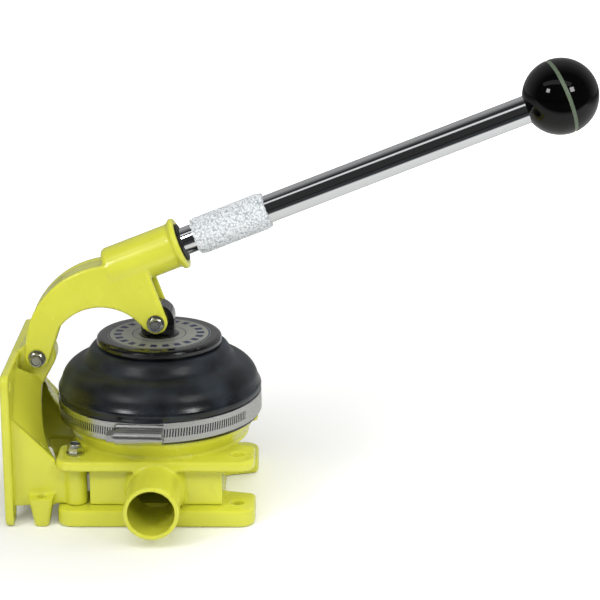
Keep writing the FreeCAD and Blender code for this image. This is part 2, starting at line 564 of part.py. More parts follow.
def side_panel():
    """Upright web from the wall plate to the column, on the -Y side."""
    edges = [line(xz(WALL_X1 - 0.5, PANEL_Z0), xz(-EAR_X, PANEL_Z0)),
             line(xz(-EAR_X, PANEL_Z0), xz(-EAR_X, FLANGE_Z0 - 0.3)),
             line(xz(-EAR_X, FLANGE_Z0 - 0.3), xz(-69.6, FLANGE_Z0 - 0.3)),
             line(xz(-69.6, FLANGE_Z0 - 0.3), xz(-70.2, 45.5)),
             line(xz(-70.2, 45.5), xz(WALL_X1 - 0.5, 76.5)),
             line(xz(WALL_X1 - 0.5, 76.5), xz(WALL_X1 - 0.5, PANEL_Z0))]
    panel = side_plate(edges, -PANEL_T / 2, PANEL_T / 2)
    yaw = math.degrees(math.atan2(PANEL_FLARE, -EAR_X - WALL_X1))
    panel.rotate(V(-EAR_X, 0, 0), Z_AXIS, yaw)
    panel.translate(V(0, -EAR_Y, 0))
    return panel


def flared_cheek():
    """Sloping wall from the fulcrum rib down and out to the side panel, on the -Y side."""
    root = Part.BSplineCurve()
    root.interpolate([V(-99, -57.5, 76.5), V(-99, -46, 92), V(-99, -30, 105)])
    rim = Part.BSplineCurve()
    rim.interpolate([V(-70.2, -52, 45.5), V(-78.3, -39, 54.5), V(-82.0, -27, 67.5), V(-83.4, -16, 79),
                     V(-83.8, -7, 90)])
    skin = Part.makeRuledSurface(root.toShape(), rim.toShape())
    return skin.extrude(V(0, PANEL_T, -2.5))


def column():
    return rod(V(-EAR_X, -EAR_Y, FOOT_T + SNUG), Z_AXIS, COLUMN_R, FLANGE_Z0 - FOOT_T - 2 * SNUG)


def deck_lug():
    """Tapered foot with an upright screw hole, on the -Y side."""
    def ring(x0, x1, y0, y1, z):
        return Part.makePolygon([V(x0, y0, z), V(x1, y0, z), V(x1, y1, z), V(x0, y1, z), V(x0, y0, z)])
    foot = Part.makeLoft([ring(-84.5, -74.5, -67.5, -57, 0), ring(-88, -71, -70, -50, DECK_TOP)], True)
    upright = [e for e in foot.Edges if e.BoundBox.ZLength > 10 and e.BoundBox.YMin < -60]
    return foot.makeFillet(3.5, upright)


def bracket():
    """Casting that carries the fulcrum: wall plate, rib, flared cheeks, panels, columns and feet."""
    near = [side_panel(), flared_cheek(), column(), deck_lug()]
    solid = wall_plate().fuse([lug()] + near + [mirrored_y(part) for part in near])
    cuts = [rod(V(FULCRUM.x, -20, FULCRUM.z), Y_AXIS, BOLT_R + SNUG, 40)]
    for s in (-1, 1):
        cuts.append(rod(V(-EAR_X, s * EAR_Y, 5), Z_AXIS, EAR_HOLE_R, 60))
        cuts.append(rod(V(DECK_X, s * DECK_Y, -1), Z_AXIS, DECK_HOLE_R, 40))
    return solid.cut(cuts).removeSplitter()


def column_spots():
    return [V(-EAR_X, s * EAR_Y, 0) for s in (-1, 1)]


def bracket_bolts():
    """Long bolts through base plate, column and flange."""
    bolts = []
    shank = FLANGE_Z1 + WASHER_T + NUT_T - 1.0 - 5.5
    for spot in column_spots():
        head = hexagon(spot + Z_AXIS * 5.6, Z_AXIS * -1, HEX_AF, HEAD_T)
        bolts.append(rod(spot + Z_AXIS * 5.5, Z_AXIS, BOLT_R, shank).fuse(head))
    return Part.makeCompound(bolts)


def bracket_washers():
    base = Z_AXIS * FLANGE_Z1
    return Part.makeCompound([tube(s + base, Z_AXIS, WASHER_R, BOLT_R + SNUG, WASHER_T)
                              for s in column_spots()])


def bracket_nuts():
    base = Z_AXIS * (FLANGE_Z1 + WASHER_T)
    bore = [rod(s + base, Z_AXIS, BOLT_R + SNUG, 12) for s in column_spots()]
    nuts = [hexagon(s + base, Z_AXIS, HEX_AF, NUT_T).cut(hole) for s, hole in zip(column_spots(), bore)]
    return Part.makeCompound(nuts)


# ---- write every piece ------------------------------------------------------------------------
PARTS = {
    "pump_body": pump_body(), "base_plate": base_plate(), "base_gasket": base_gasket(),
    "base_screws": base_screws(),
    "inlet_flap": flap(-1), "inlet_flap_weight": flap_weight(-1),
    "outlet_flap": flap(1), "outlet_flap_weight": flap_weight(1),
    "inlet_keeper": flap_keeper(-1), "outlet_keeper": flap_keeper(1),
    "inlet_keeper_screws": keeper_screws(-1), "outlet_keeper_screws": keeper_screws(1),
    "diaphragm": diaphragm(), "clamp_band": clamp_band(), "clamp_housing": clamp_housing(),
    "clamp_screw": clamp_screw(),
    "top_plate": top_plate(), "label_disc": label_disc(), "lower_plate": lower_plate(),
    "plate_screws": plate_screws(),
    "bracket": bracket(), "bracket_bolts": bracket_bolts(), "bracket_washers": bracket_washers(),
    "bracket_nuts": bracket_nuts(),
    "fulcrum_bolt": cross_bolt(FULCRUM, CHEEK_OUT + GAP), "fulcrum_nut": cross_nut(FULCRUM, CHEEK_OUT + GAP),
    "fulcrum_washers": cross_washers(FULCRUM, CHEEK_OUT + GAP),
    "lever_arm": lever_arm(), "fulcrum_bushes": fulcrum_bushes(), "socket_bush": socket_bush(),
    "fork_pin": cross_bolt(PIN, CHEEK_OUT), "fork_nut": cross_nut(PIN, CHEEK_OUT),
    "fork_washers": cross_washers(PIN, CHEEK_OUT),
    "handle_tube": handle_tube(), "handle_sleeve": handle_sleeve(), "knob": knob(),
    "knob_ring": knob_ring(), "knob_plug": knob_plug(),
}

for name, shape in PARTS.items():
    export(name, shape)
    print(name, "solids", len(shape.Solids), "valid", shape.isValid(), "volume", round(shape.Volume))
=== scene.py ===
"""Manual diaphragm bilge pump: the looks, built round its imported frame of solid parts."""
import json
import math

import bmesh
import bpy
from mathutils import Matrix, Vector, noise


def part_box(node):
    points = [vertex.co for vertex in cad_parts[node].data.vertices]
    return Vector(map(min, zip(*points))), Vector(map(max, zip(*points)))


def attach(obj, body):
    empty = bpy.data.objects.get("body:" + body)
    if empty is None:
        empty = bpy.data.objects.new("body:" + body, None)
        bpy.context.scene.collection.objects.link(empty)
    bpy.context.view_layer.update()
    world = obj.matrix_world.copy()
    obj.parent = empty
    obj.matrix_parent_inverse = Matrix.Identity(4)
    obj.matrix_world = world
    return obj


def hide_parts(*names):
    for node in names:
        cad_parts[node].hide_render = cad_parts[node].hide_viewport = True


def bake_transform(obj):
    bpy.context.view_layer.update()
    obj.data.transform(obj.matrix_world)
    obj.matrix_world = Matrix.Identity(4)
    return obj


bl_info = {
    "name": "Manual bilge pump",
    "version": (1, 0, 0),
    "blender": (4, 5, 0),
    "location": "3D View > Sidebar > Bilge pump",
    "description": "Builds the coated castings, rubber diaphragm, clamp, lever, handle and fasteners",
    "category": "Add Mesh",
}

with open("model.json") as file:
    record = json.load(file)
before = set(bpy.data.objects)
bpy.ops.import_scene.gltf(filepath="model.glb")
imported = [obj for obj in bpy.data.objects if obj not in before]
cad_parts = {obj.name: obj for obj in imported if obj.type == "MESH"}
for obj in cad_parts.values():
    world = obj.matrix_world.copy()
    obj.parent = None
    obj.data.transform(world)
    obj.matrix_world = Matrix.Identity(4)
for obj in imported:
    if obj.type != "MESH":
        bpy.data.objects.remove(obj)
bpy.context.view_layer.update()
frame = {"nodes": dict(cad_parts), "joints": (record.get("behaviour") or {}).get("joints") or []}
MM = 0.001

# ---- places taken from the frame ----------------------------------------------------------------
JOINTS = {joint["name"]: joint for joint in frame["joints"]}
HANDLE_AXIS = Vector(JOINTS["handle_pull"]["axis"]).normalized()


def middle(node):
    low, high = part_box(node)
    return (low + high) / 2


KNOB_CENTRE = middle("knob_ring")


def rgb(code):
    """Linear colour from an sRGB hex value."""
    parts = [int(code[i:i + 2], 16) / 255 for i in (1, 3, 5)]
    return tuple(c / 12.92 if c <= 0.04045 else ((c + 0.055) / 1.055) ** 2.4 for c in parts)


# ---- settings a user would change -----------------------------------------------------------------
def colour(name, text, code):
    return bpy.props.FloatVectorProperty(name=name, description=text, subtype="COLOR", size=3,
                                         min=0, max=1, default=rgb(code))


def length(name, text, value):
    return bpy.props.FloatProperty(name=name, description=text, default=value, unit="LENGTH",
                                   subtype="DISTANCE", precision=5)


class PumpFinish(bpy.types.PropertyGroup):
    coat: colour("Epoxy coat", "Colour of the powder coated castings", "#D8D943")
    rubber: colour("Rubber", "Colour of the diaphragm", "#0F1114")
    steel: colour("Stainless steel", "Colour of the band and fasteners", "#C8C8C5")
    tape: colour("Grip tape", "Colour of the coarse woven tape", "#F0F3F5")
    ring: colour("Knob ring", "Colour of the ring let into the knob", "#5E6B57")
    label: colour("Label foil", "Colour of the blank label disc", "#A6A89F")


class PumpSizes(bpy.types.PropertyGroup):
    casting_voxel: length("Casting grain", "Mesh size used to soften the castings' edges", 1.0 * MM)
    slot_pitch: length("Band slot pitch", "Distance between two worm slots of the clamp band", 1.95 * MM)
    tape_weave: length("Tape weave", "Thread spacing of the grip tape", 1.5 * MM)
    peel: length("Coat peel", "Size of the waves in the powder coat", 2.4 * MM)


def finish_settings():
    return bpy.context.scene.pump_finish


def size_settings():
    return bpy.context.scene.pump_sizes


# ---- material tools -------------------------------------------------------------------------------
def node(tree, kind, inputs=None, **settings):
    """Add a shader node, set its properties and link or fill its inputs."""
    made = tree.nodes.new(kind)
    for key, value in settings.items():
        setattr(made, key, value)
    for socket, value in (inputs or {}).items():
        if isinstance(value, bpy.types.NodeSocket):
            tree.links.new(value, made.inputs[socket])
        else:
            made.inputs[socket].default_value = value
    return made


def rgba(value):
    return (*value, 1.0)


def new_material(name, **sockets):
    """A Principled material; returns it with its tree and shader."""
    material = bpy.data.materials.get(name)
    if material:
        bpy.data.materials.remove(material)
    material = bpy.data.materials.new(name)
    material.use_nodes = True
    tree = material.node_tree
    shader = tree.nodes["Principled BSDF"]
    for socket, value in sockets.items():
        shader.inputs[socket.replace("_", " ")].default_value = value
    return material, tree, shader


def object_space(tree, scale=(1, 1, 1), rotation=(0, 0, 0)):
    """Object coordinates, turned and scaled."""
    place = node(tree, "ShaderNodeTexCoord")
    return node(tree, "ShaderNodeMapping", {"Vector": place.outputs["Object"], "Scale": scale,
                                            "Rotation": rotation}).outputs["Vector"]


def grain(tree, space, scale, detail, roughness=0.5):
    """Soft random pattern; the scale is in waves per metre."""
    return node(tree, "ShaderNodeTexNoise", {"Vector": space, "Scale": scale, "Detail": detail,
                                             "Roughness": roughness}).outputs["Fac"]


def ramp(tree, factor, first, last, start=0.0, stop=1.0):
    """Blend of two linear colours while the factor goes from start to stop."""
    made = node(tree, "ShaderNodeValToRGB", {"Fac": factor})
    low, high = made.color_ramp.elements
    low.position, high.position = start, stop
    low.color, high.color = rgba(first), rgba(last)
    return made.outputs["Color"]


def mapped(tree, value, low, high, start=0.0, stop=1.0):
    """A value between start and stop, moved to lie between low and high."""
    return node(tree, "ShaderNodeMapRange", {"Value": value, "From Min": start, "From Max": stop,
                                             "To Min": low, "To Max": high}).outputs["Result"]


def calc(tree, operation, *values):
    return node(tree, "ShaderNodeMath", dict(enumerate(values)), operation=operation).outputs["Value"]


def feed(tree, shader, **sockets):
    """Link values to the shader's sockets."""
    for socket, value in sockets.items():
        tree.links.new(value, shader.inputs[socket.replace("_", " ")])


def emboss(tree, shader, height, strength, distance, invert=False):
    """Fine relief; the distance is its depth in metres."""
    bump = node(tree, "ShaderNodeBump", {"Height": height, "Strength": strength, "Distance": distance},
                invert=invert)
    feed(tree, shader, Normal=bump.outputs["Normal"])


# ---- materials ------------------------------------------------------------------------------------
def epoxy_coat(name):
    """Thick powder coat on die-cast aluminium: glossy, with a faint orange peel and soft tone drift."""
    coat = finish_settings().coat
    material, tree, shader = new_material(name, Roughness=0.26, Coat_Weight=0.6, Coat_Roughness=0.06,
                                          IOR=1.5)
    space = object_space(tree)
    drift = grain(tree, space, 22.0, 3.0)
    tone = ramp(tree, drift, [c * 0.93 for c in coat], [min(1, c * 1.05) for c in coat], 0.3, 0.7)
    feed(tree, shader, Base_Color=tone, Roughness=mapped(tree, drift, 0.2, 0.32))
    emboss(tree, shader, grain(tree, space, 1 / size_settings().peel, 2.0, 0.45), 0.22, 0.0003)
    return material


DUST_FROM, DUST_TO = 85.0 * MM, 93.0 * MM   # heights between which the rubber turns from glossy to dusty


def moulded_rubber(name, dust_and_painted_sheen):
    """Moulded nitrile rubber: glossy at the clamped bead and rougher with dust above it, with bluish-grey
    patches all over that are partly bloom and dust and partly painted sheen.
    """
    material, tree, shader = new_material(name, Roughness=0.4, IOR=1.52, Specular_IOR_Level=0.5)
    space = object_space(tree)
    dust_and_sheen_patches = grain(tree, space, 24.0, 3.5, 0.5)
    height = node(tree, "ShaderNodeSeparateXYZ", {"Vector": space}).outputs["Z"]
    rough = calc(tree, "ADD", mapped(tree, height, 0.2, 0.38, DUST_FROM, DUST_TO),
                 mapped(tree, dust_and_sheen_patches, 0.0, 0.1, 0.35, 0.75))
    # bluish-grey patches over the rubber: partly bloom and dust, partly painted sheen
    feed(tree, shader, Base_Color=ramp(tree, dust_and_sheen_patches, finish_settings().rubber, rgb(dust_and_painted_sheen), 0.42, 0.8),
         Roughness=rough)
    emboss(tree, shader, grain(tree, space, 1400.0, 3.0), 0.12, 0.0002)
    return material


def stainless(name, rough):
    """Rolled stainless steel: bright, with fine lines along the rolling direction."""
    material, tree, shader = new_material(name, Metallic=1.0, Roughness=rough)
    shader.inputs["Base Color"].default_value = rgba(finish_settings().steel)
    lines = grain(tree, object_space(tree, (60, 60, 2600)), 1.0, 3.0)
    feed(tree, shader, Roughness=mapped(tree, lines, rough * 0.7, rough * 1.7))
    emboss(tree, shader, lines, 0.08, 0.0001)
    return material


def chrome(name):
    """Bright chromium plate: a mirror with the faintest polishing haze."""
    material, tree, shader = new_material(name, Metallic=1.0, Roughness=0.05)
    shader.inputs["Base Color"].default_value = rgba(rgb("#EEF0F2"))
    feed(tree, shader, Roughness=mapped(tree, grain(tree, object_space(tree), 180.0, 4.0), 0.03, 0.09))
    return material


def gloss_enamel(name):
    """Black gloss enamel on the plunger plates, with fine dust and rubbing marks."""
    material, tree, shader = new_material(name, Roughness=0.16, IOR=1.5, Coat_Weight=0.6,
                                          Coat_Roughness=0.04)
    dust = grain(tree, object_space(tree), 260.0, 5.0)
    feed(tree, shader, Base_Color=ramp(tree, dust, rgb("#0B0B0C"), rgb("#242628"), 0.5, 0.8),
         Roughness=mapped(tree, dust, 0.14, 0.3))
    return material


LABEL_DASHES, DASH_SHARE = 22, 0.55         # dashes round the label, and the inked share of each
DASH_BAND = (29.3 * MM, 2.7 * MM)           # middle radius and half width of the printed bands
LABEL_RIM, LABEL_INNER = (35.6 * MM, 0.5 * MM), (19.0 * MM, 0.3 * MM)


def label_foil(name):
    """Satin aluminium foil printed with plain rings and a ring of dashes, no lettering."""
    material, tree, shader = new_material(name, Metallic=0.55, Roughness=0.38)
    parts = node(tree, "ShaderNodeSeparateXYZ", {"Vector": object_space(tree)})
    x, y = parts.outputs["X"], parts.outputs["Y"]
    flat = node(tree, "ShaderNodeCombineXYZ", {"X": x, "Y": y}).outputs["Vector"]
    radius = node(tree, "ShaderNodeVectorMath", {0: flat}, operation="LENGTH").outputs["Value"]
    turns = calc(tree, "MULTIPLY", calc(tree, "ARCTAN2", y, x), LABEL_DASHES / math.tau)
    dash = calc(tree, "LESS_THAN", calc(tree, "WRAP", turns, 1.0, 0.0), DASH_SHARE)
    band, rim, inner = (calc(tree, "COMPARE", radius, *ring) for ring in (DASH_BAND, LABEL_RIM, LABEL_INNER))
    rings = calc(tree, "MAXIMUM", rim, inner)
    ink = calc(tree, "MAXIMUM", calc(tree, "MULTIPLY", dash, band), rings)
    foil = node(tree, "ShaderNodeMix", {"Factor": ink}, data_type="RGBA")
    foil.inputs["A"].default_value = rgba(finish_settings().label)
    foil.inputs["B"].default_value = rgba(rgb("#33375F"))
    feed(tree, shader, Base_Color=foil.outputs["Result"])
    return material


def grip_tape(name):
    """Coarse self-gripping tape: pale threads, grey gaps between them and a slight sheen."""
    weave = size_settings().tape_weave
    material, tree, shader = new_material(name, Roughness=0.5, Sheen_Weight=0.15)
    space = object_space(tree)
    cells = node(tree, "ShaderNodeTexVoronoi", {"Vector": space, "Scale": 1 / weave}).outputs["Distance"]
    gaps = calc(tree, "MULTIPLY", cells, grain(tree, space, 1.6 / weave, 3.0, 0.7))
    feed(tree, shader, Base_Color=ramp(tree, gaps, finish_settings().tape, rgb("#A9B1B7"), 0.16, 0.42))
    emboss(tree, shader, gaps, 0.9, 0.0008, invert=True)
    return material


def mottled(name, first, last, scale, detail, **sockets):
    """Plain material whose colour drifts between two tones."""
    material, tree, shader = new_material(name, **sockets)
    feed(tree, shader, Base_Color=ramp(tree, grain(tree, object_space(tree), scale, detail), first, last))
    return material


def phenolic(name):
    """Polished phenolic ball: deep black under a clear gloss."""
    return mottled(name, rgb("#030303"), rgb("#070607"), 90.0, 3.0, Roughness=0.04, IOR=1.5,
                   Specular_IOR_Level=0.32)


def nylon(name):
    """Black moulded nylon: dull, faintly mottled."""
    return mottled(name, rgb("#0B0B0C"), rgb("#1B1B1D"), 500.0, 3.0, Roughness=0.5)


def tinted(name, base, rough, metallic=0.0):
    """One colour with a slight grain."""
    return mottled(name, [c * 0.85 for c in base], [min(1, c * 1.12) for c in base], 420.0, 4.0,
                   Roughness=rough, Metallic=metallic)


def ring_plastic(name):
    return tinted(name, finish_settings().ring, 0.35)


# Every finish is made once, by its maker and the maker's values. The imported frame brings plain
# materials named like its slots, so no finish may have a slot's name.
FINISHES = {
    "epoxy_powder_coat": (epoxy_coat,),
    # for the two rubbers, the second value colours the bluish-grey patches: partly bloom and dust, partly
    # painted sheen
    "moulded_rubber": (moulded_rubber, "#353D46"),
    "flap_rubber": (moulded_rubber, "#24272A"),
    "rolled_stainless": (stainless, 0.22),
    "rolled_washer": (stainless, 0.25),
    "pressed_stainless": (stainless, 0.26),
    "bright_steel": (stainless, 0.27),
    "polished_chrome": (chrome,),
    "polished_phenolic": (phenolic,),
    "gloss_black_enamel": (gloss_enamel,),
    "label_foil": (label_foil,),
    "woven_grip_tape": (grip_tape,),
    "moulded_nylon": (nylon,),
    "nylon_insert": (tinted, rgb("#2E3A55"), 0.4),
    "cast_brass": (tinted, rgb("#B48A45"), 0.3, 1.0),
    "ring_plastic": (ring_plastic,),
}


def finish(name):
    maker, *values = FINISHES[name]
    return bpy.data.materials.get(name) or maker(name, *values)


# ---- mesh tools -----------------------------------------------------------------------------------
def placed(name, data):
    """Put a new object with this data in the scene."""
    made = bpy.data.objects.new(name, data)
    bpy.context.scene.collection.objects.link(made)
    return made


def to_object(bm, name, material, body, replaces=(), smooth_angle=35):
    """Finish a bmesh as a named piece that rides on a body."""
    bmesh.ops.remove_doubles(bm, verts=bm.verts, dist=1e-7)
    bmesh.ops.recalc_face_normals(bm, faces=bm.faces)
    mesh = bpy.data.meshes.new(name)
    bm.to_mesh(mesh)
    bm.free()
    piece = placed(name, mesh)
    mesh.materials.append(material)
    mesh.shade_smooth()
    mesh.set_sharp_from_angle(angle=math.radians(smooth_angle))
    if body:
        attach(piece, body)
    if replaces:
        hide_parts(*replaces)
    return piece


def frame_along(origin, axis):
    """Matrix that takes local +Z to the axis, at the origin."""
    return Matrix.Translation(origin) @ axis.normalized().to_track_quat("Z", "Y").to_matrix().to_4x4()


def spun(profile, place, steps=128, closed=True):
    """Bmesh turned about local Z from (radius, height) points in millimetres."""
    bm = bmesh.new()
    verts = [bm.verts.new((r * MM, 0, z * MM)) for r, z in profile]
    edges = [bm.edges.new(pair) for pair in zip(verts, verts[1:])]
    if closed:
        edges.append(bm.edges.new((verts[-1], verts[0])))
    bmesh.ops.spin(bm, geom=verts + edges, cent=(0, 0, 0), axis=(0, 0, 1), angle=math.tau,
                   steps=steps, use_merge=True)
    bmesh.ops.remove_doubles(bm, verts=bm.verts, dist=1e-6)
    bmesh.ops.transform(bm, matrix=place, verts=bm.verts)
    return bm


def rounded(points, radius, segments=3):
    """Round the corners of a closed (radius, height) outline where it turns."""
    result = []
    count = len(points)
    for i, point in enumerate(points):
        here = Vector(point)
        back, ahead = Vector(points[i - 1]) - here, Vector(points[(i + 1) % count]) - here
        turn = back.angle(ahead) if back.length and ahead.length else math.pi
        reach = min(radius, back.length * 0.45, ahead.length * 0.45)
        if turn > math.radians(165) or here.x < 1e-6 or reach < 1e-6:
            result.append(tuple(here))
            continue
        start, end = here + back.normalized() * reach, here + ahead.normalized() * reach
        for step in range(segments + 1):
            t = step / segments
            result.append(tuple(start.lerp(here, t).lerp(here.lerp(end, t), t)))
    return result


def softened(node_name, name, voxel, rounds, material, body):
    """Copy a casting, remesh it finely and relax it, so that every edge and root gets a cast radius."""
    source = frame["nodes"][node_name]
    bm = bmesh.new()
    bm.from_mesh(source.data)
    bmesh.ops.remove_doubles(bm, verts=bm.verts, dist=1e-6)
    mesh = bpy.data.meshes.new(name + "_raw")
    bm.to_mesh(mesh)
    bm.free()
    raw = placed(name + "_raw", mesh)
    remesh = raw.modifiers.new("grain", "REMESH")
    remesh.mode, remesh.voxel_size, remesh.adaptivity = "VOXEL", voxel, 0.0
    relax = raw.modifiers.new("relax", "SMOOTH")
    relax.factor, relax.iterations = 0.5, rounds
    graph = bpy.context.evaluated_depsgraph_get()
    final = bpy.data.meshes.new_from_object(raw.evaluated_get(graph))
    bpy.data.objects.remove(raw)
    final.name = name
    final.materials.clear()
    final.materials.append(material)
    final.shade_smooth()
    piece = placed(name, final)
    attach(piece, body)
    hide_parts(node_name)
    return piece


def dress(node_name, material):
    """Give a carried-over solid its finish."""
    mesh = frame["nodes"][node_name].data
    mesh.materials.clear()
    mesh.materials.append(material)


# ---- pieces ---------------------------------------------------------------------------------------
CASTINGS = [("pump_body", "pump"), ("base_plate", "pump"), ("bracket", "pump"), ("lever_arm", "lever")]
RELAX_ROUNDS = 4


class PumpCastings(bpy.types.Operator):
    """Build the four coated castings with cast radii"""
    bl_idname = "pump.castings"
    bl_label = "Castings"

    def execute(self, context):
        coat = finish("epoxy_powder_coat")
        for name, body in CASTINGS:
            softened(name, name + "_cast", size_settings().casting_voxel, RELAX_ROUNDS, coat, body)
        dress("base_gasket", coat)
        return {"FINISHED"}


# Outline of the moulded rubber, millimetres from the axis and above the feet.
RUBBER_OUTSIDE = [(0, 113.65), (45.2, 113.65), (47.6, 112.7), (50.0, 109.8), (51.8, 105.8), (54.2, 103.0),
                  (57.6, 101.9), (62.0, 100.0), (66.4, 96.4), (69.0, 92.2), (70.1, 88.6), (71.2, 86.0),
                  (72.4, 84.2), (72.5, 82.0), (71.9, 80.6), (71.5, 79.0), (71.5, 63.6), (70.4, 62.2),
                  (69.0, 61.8), (65.75, 61.8)]
RUBBER_INSIDE = [(65.75, 80.55), (62.0, 80.55), (62.0, 83.6), (66.4, 84.6), (67.2, 86.6), (66.4, 90.0),
                 (63.8, 93.6), (59.6, 97.0), (54.6, 98.8), (50.4, 101.6), (47.8, 106.2), (45.2, 110.25),
                 (0, 110.25)]


def eased(points, rounds):
    """Cut the corners of an open outline again and again, keeping its two ends."""
    for _ in range(rounds):
        cut = [points[0]]
        for (r0, z0), (r1, z1) in zip(points, points[1:]):
            cut += [(r0 * 0.75 + r1 * 0.25, z0 * 0.75 + z1 * 0.25),
                    (r0 * 0.25 + r1 * 0.75, z0 * 0.25 + z1 * 0.75)]
        points = cut + [points[-1]]
    return points


class PumpDiaphragm(bpy.types.Operator):
    """Turn the moulded rubber diaphragm"""
    bl_idname = "pump.diaphragm"
    bl_label = "Diaphragm"

    def execute(self, context):
        outline = eased(RUBBER_OUTSIDE, 2) + eased(RUBBER_INSIDE, 2)
        bm = spun(outline, Matrix.Identity(4), steps=192, closed=False)
        piece = to_object(bm, "diaphragm_rubber", finish("moulded_rubber"), None,
                          ["diaphragm"], smooth_angle=50)
        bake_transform(piece)
        return {"FINISHED"}


BAND_THICKNESS = 1.0                  # mm
SLOT_LOW, SLOT_HIGH = 4.0, 10.0       # height of the worm slots above the band's lower edge, mm
SLOT_START, SLOT_END = 155.0, 329.0   # directions between which the band is slotted, degrees
SLOT_MARGIN, SLOT_DEPTH = 0.12, 0.6   # edge left round each slot, and how far it is pressed in, mm
SLOT_LEAN = 0.7                       # sideways lean of a slot over its height, mm
BAND_TILT = math.radians(-1.2)        # the band sits a little higher on the handle side
HOUSING_TURN = math.radians(-97.0)
HOUSING_HALF = 16.5                   # half the length of the worm housing, mm
WORM_OUT, WORM_DOWN = 4.05, 1.0       # worm's axis outside the band and below its middle, mm
WORM_RADIUS, SCREW_LENGTH = 4.2, 33   # mm
ROLL_OUTER, ROLL_INNER = 5.5, 4.5     # radii of the sheet rolled over the worm, mm
SCREW_HEX, SCREW_HEAD, SCREW_SLOT = 8.0, 5.0, 1.2   # across flats, height and half slot width, mm


def tilted_about_band():
    mid = Vector((0, 0, middle("clamp_band").z))
    return Matrix.Translation(mid) @ Matrix.Rotation(BAND_TILT, 4, "Y") @ Matrix.Translation(-mid)


class PumpBand(bpy.types.Operator):
    """Turn the clamp band, press its worm slots, and add the worm housing and screw"""
    bl_idname = "pump.clamp"
    bl_label = "Worm clamp"

    def execute(self, context):
        low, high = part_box("clamp_band")
        radius, floor, height = high.x / MM, low.z / MM, (high.z - low.z) / MM
        steel = finish("rolled_stainless")
        slots = round(math.tau * radius * MM / size_settings().slot_pitch)
        inner = radius - BAND_THICKNESS
        outline = [(inner, floor), (radius - 0.25, floor), (radius, floor + 0.3),
                   (radius, floor + SLOT_LOW), (radius, floor + SLOT_HIGH),
                   (radius, floor + height - 0.3), (radius - 0.25, floor + height), (inner, floor + height)]
        bm = spun(outline, Matrix.Identity(4), steps=2 * slots)
        low_z, high_z = (floor + SLOT_LOW) * MM, (floor + SLOT_HIGH) * MM
        chosen = []
        for face in bm.faces:
            centre = face.calc_center_median()
            turn = math.degrees(math.atan2(centre.y, centre.x)) % 360
            column = int(turn / 360 * 2 * slots)
            on_row = low_z < centre.z < high_z and centre.xy.length > (radius - 0.1) * MM
            if on_row and column % 2 == 0 and SLOT_START < turn < SLOT_END:
                chosen.append(face)
        bmesh.ops.inset_individual(bm, faces=chosen, thickness=SLOT_MARGIN * MM, depth=0.0)
        for face in chosen:
            face.material_index = 1
            inward = -face.calc_center_median().normalized()
            inward.z = 0
            bmesh.ops.translate(bm, verts=face.verts, vec=inward.normalized() * SLOT_DEPTH * MM)
        upper = [v for v in bm.verts if v.co.z > (low_z + high_z) / 2]
        lean = Matrix.Rotation(SLOT_LEAN / radius, 3, "Z")
        bmesh.ops.rotate(bm, verts=upper, cent=(0, 0, 0), matrix=lean)
        bmesh.ops.transform(bm, matrix=tilted_about_band(), verts=bm.verts)
        band = to_object(bm, "band_slotted", steel, "pump", ["clamp_band"])
        band.data.materials.append(finish("moulded_rubber"))
        self.housing(radius, floor + height / 2)
        return {"FINISHED"}

    def housing(self, radius, mid):
        """Sheet steel saddle rolled over the worm, and the worm screw's slotted head."""
        worm = Vector((radius + WORM_OUT, 0, mid - WORM_DOWN))

        def roll(size, degrees):
            return [(worm.x + size * math.cos(math.radians(a)), worm.z + size * math.sin(math.radians(a)))
                    for a in degrees]

        outline = [(radius + 0.2, mid + 6.8), (radius + 1.6, mid + 6.8), (radius + 2.3, mid + 6.0)]
        outline += roll(ROLL_OUTER, range(104, -111, -14))
        outline += [(radius + 0.3, mid - 6.9), (radius + 0.3, mid - 6.0)]
        outline += roll(ROLL_INNER, range(-110, 105, 14))
        outline += [(radius + 1.0, mid + 5.4), (radius + 0.2, mid + 5.4)]
        bm = bmesh.new()
        face = bm.faces.new([bm.verts.new((x * MM, -HOUSING_HALF * MM, z * MM)) for x, z in outline])
        made = bmesh.ops.extrude_face_region(bm, geom=[face])
        moved = [g for g in made["geom"] if isinstance(g, bmesh.types.BMVert)]
        bmesh.ops.translate(bm, verts=moved, vec=(0, 2 * HOUSING_HALF * MM, 0))
        place = tilted_about_band() @ Matrix.Rotation(HOUSING_TURN, 4, "Z")
        bmesh.ops.transform(bm, matrix=place, verts=bm.verts)
        to_object(bm, "worm_housing", finish("pressed_stainless"), "pump", ["clamp_housing"],
                  smooth_angle=30)
        start = Vector((worm.x, -HOUSING_HALF - 1.0, worm.z)) * MM
        place = place @ frame_along(start, Vector((0, -1, 0)))
        head = hexagon_head(SCREW_HEX, SCREW_HEAD, place, slot=SCREW_SLOT)
        rod = spun([(0, -SCREW_LENGTH), (WORM_RADIUS, -SCREW_LENGTH), (WORM_RADIUS, 1.2), (0, 1.2)], place,
                   steps=48, closed=False)
        for bm, name in ((head, "worm_screw_head"), (rod, "worm_screw")):
            to_object(bm, name, finish("bright_steel"), "pump", ["clamp_screw"],
                      smooth_angle=30)


COLLAR_PROFILE = [(0.90, 0.12), (0.88, 0.72), (0.82, 0.94), (0.74, 1.0)]   # share of flat, share of height


